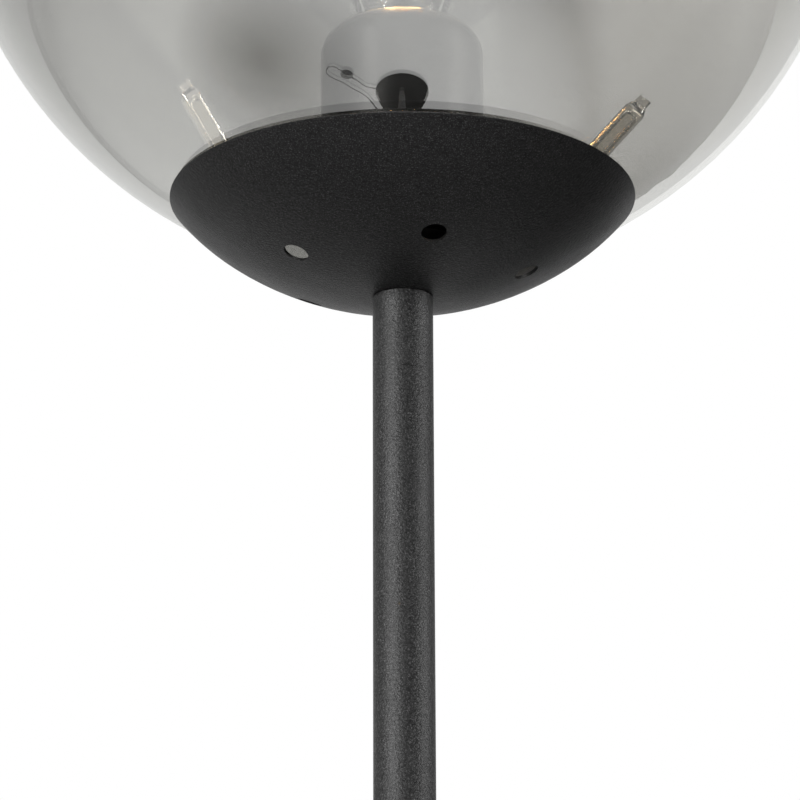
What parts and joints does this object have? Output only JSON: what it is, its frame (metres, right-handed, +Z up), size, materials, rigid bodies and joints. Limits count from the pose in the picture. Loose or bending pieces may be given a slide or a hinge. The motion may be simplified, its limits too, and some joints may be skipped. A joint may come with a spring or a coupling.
{
  "type": "floor lamp",
  "caption": "Floor lamp: a smoked half-mirror glass ball in a spherical metal dish on a slim round pole and weighted disc base, with screw bulb, foot switch and plug.",
  "frame": {"origin": "middle of the base on the floor", "axes": "+Z up along the pole; -Y is the front, the side the picture is taken from; the lead leaves the base on the -X side"},
  "size_m": [0.5323, 0.371, 1.5542],
  "materials": {
    "powder_coat": "fine black powder coat, satin",
    "iron": "raw casting",
    "pad_rubber": "matt",
    "plated_steel": "zinc plated",
    "insert_steel": "turned",
    "spring_wire": "drawn wire",
    "clip_plastic": "clear, slightly amber",
    "cover_metal": "dark grey satin",
    "holder_plastic": "moulded black",
    "contact_brass": "plain",
    "cap_metal": "rolled",
    "bulb_insulation": "vitreous black",
    "bulb_glass": "clear",
    "filament": "phosphor coated",
    "smoked_glass": "smoked, half mirrored",
    "switch_plastic": "fine texture",
    "plug_plastic": "fine texture",
    "relief_rubber": "soft",
    "lead_sheath": "smooth PVC"
  },
  "bodies": {
    "stand": {"base_cover": "powder_coat", "base_weight": "iron", "base_pad": "pad_rubber", "base_nipple": "plated_steel", "base_nut": "plated_steel", "base_washer": "plated_steel", "cord_gland": "relief_rubber", "cord_clamp": "plated_steel", "cord_clamp_screws": "plated_steel", "pole_inserts": "insert_steel", "dish": "powder_coat", "head_nipple": "plated_steel", "head_nuts": "plated_steel", "head_washers": "plated_steel", "clip_plate": "plated_steel", "clip_rivets": "plated_steel", "lampholder_cover": "cover_metal", "lampholder_cap": "holder_plastic", "lampholder_barrel": "holder_plastic", "terminal_block": "holder_plastic", "terminal_screws": "contact_brass", "centre_contact": "contact_brass", "screw_shell": "contact_brass", "switch_base": "switch_plastic", "switch_cover": "switch_plastic", "switch_screws": "plated_steel", "switch_block": "switch_plastic", "switch_spring": "plated_steel", "switch_relief_in": "relief_rubber", "switch_relief_out": "relief_rubber", "plug_body": "plug_plastic", "plug_pins": "contact_brass", "cord_in_pole": "lead_sheath", "cord_to_switch": "lead_sheath", "cord_from_switch": "lead_sheath", "cord_coil": "lead_sheath", "cord_to_plug": "lead_sheath", "pole_section_1": "powder_coat", "pole_section_2": "powder_coat", "pole_section_3": "powder_coat", "pole_coupler_1": "plated_steel", "pole_coupler_2": "plated_steel", "clip_foot_1": "spring_wire", "clip_foot_2": "spring_wire", "clip_foot_3": "spring_wire"},
    "bulb_tip": {"bulb_tip": "contact_brass"},
    "bulb": {"bulb_insulator": "bulb_insulation", "bulb_cap": "cap_metal", "bulb_glass": "bulb_glass", "bulb_stem": "bulb_glass", "bulb_filaments": "filament", "bulb_wires": "filament"},
    "globe": {"globe": "smoked_glass"},
    "switch_button": {"switch_button": "switch_plastic"},
    "clip_1": {"clip_spring_1": "spring_wire", "clip_sleeve_1": "clip_plastic"},
    "clip_2": {"clip_spring_2": "spring_wire", "clip_sleeve_2": "clip_plastic"},
    "clip_3": {"clip_spring_3": "spring_wire", "clip_sleeve_3": "clip_plastic"}
  },
  "joints": [
    {"name": "globe_lift", "type": "slide", "parent": "stand", "child": "globe", "axis": [0, 0, 1], "range_m": [0, 0.27]},
    {"name": "bulb_turn", "type": "hinge", "parent": "bulb_tip", "child": "bulb", "pos_m": [0, 0, 1.297], "axis": [0, 0, 1], "range_deg": [0, 1620]},
    {"name": "bulb_rise", "type": "slide", "parent": "stand", "child": "bulb_tip", "axis": [0, 0, 1], "range_m": [0, 0.0164]},
    {"name": "switch_press", "type": "slide", "parent": "stand", "child": "switch_button", "axis": [0, 0, -1], "range_m": [0, 0.003], "stiffness_N_per_m": 800, "deforming": ["switch_spring"]},
    {"name": "clip_1_flex", "type": "hinge", "parent": "stand", "child": "clip_1", "pos_m": [0.04291, -0.02609, 1.2554], "axis": [-0.5195, -0.8545, 0], "range_deg": [0, 25], "stiffness_Nm_per_rad": 0.05},
    {"name": "clip_2_flex", "type": "hinge", "parent": "stand", "child": "clip_2", "pos_m": [0.00114, 0.05021, 1.2554], "axis": [0.9997, -0.0227, 0], "range_deg": [0, 25], "stiffness_Nm_per_rad": 0.05},
    {"name": "clip_3_flex", "type": "hinge", "parent": "stand", "child": "clip_3", "pos_m": [-0.04405, -0.02412, 1.2554], "axis": [-0.4802, 0.8771, 0], "range_deg": [0, 25], "stiffness_Nm_per_rad": 0.05}
  ],
  "couplings": [
    {"joint": "bulb_rise", "follows": "bulb_turn", "m_per_rad": 0.00057757}
  ]
}
